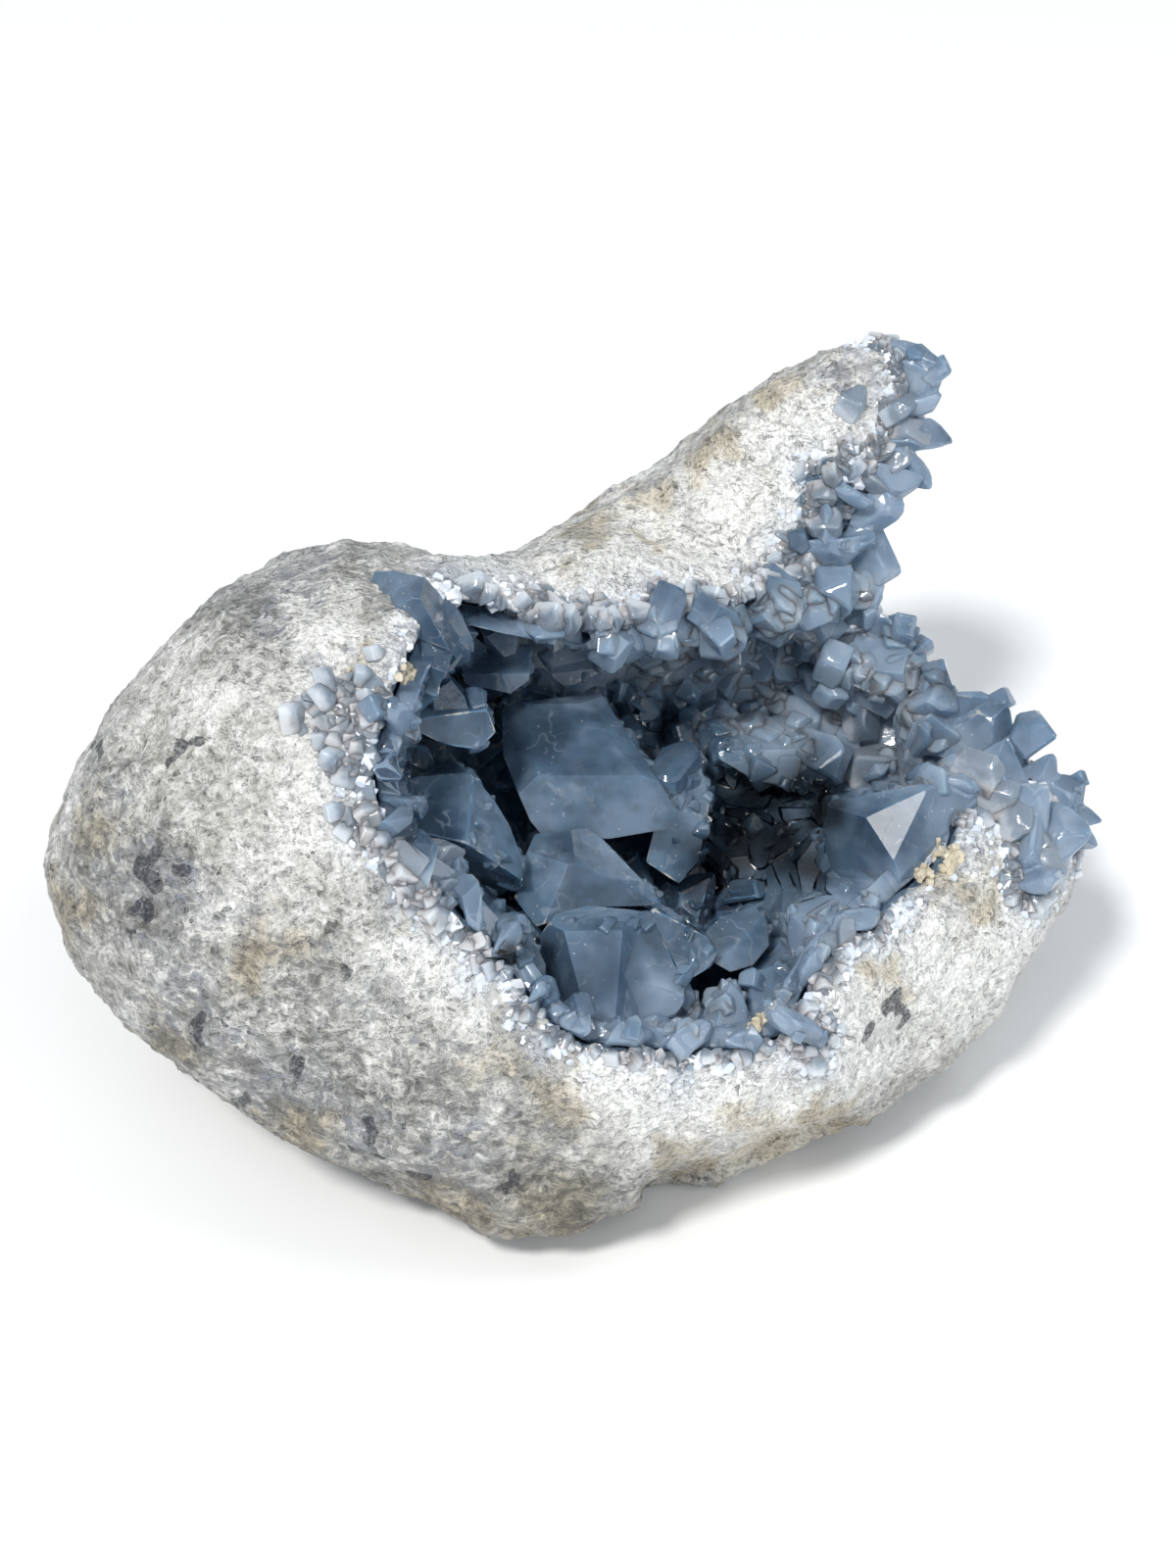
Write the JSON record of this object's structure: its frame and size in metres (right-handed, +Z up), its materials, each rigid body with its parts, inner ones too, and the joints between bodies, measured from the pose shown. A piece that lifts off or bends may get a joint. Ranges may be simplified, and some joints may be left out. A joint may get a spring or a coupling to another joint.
{
  "type": "celestite geode",
  "caption": "Rounded grey-white rock nodule broken open toward one side, its hollow lined with a crust of clear pale-blue celestite crystals.",
  "frame": {"origin": "on the flat spot that the stone rests on, under its middle", "axes": "+X along the length of the stone toward its broken right end, +Z up from the flat spot, -Y toward the side that the hollow opens to"},
  "size_m": [0.1651, 0.1296, 0.0985],
  "materials": {
    "rock": "rough grained stone, white to grey with ochre and charcoal grains",
    "celestite": "clear to cloudy pale blue crystal with bright flat faces"
  },
  "bodies": {
    "root": {"rock_shell": "rock", "crystal_crust": "celestite"}
  },
  "joints": []
}
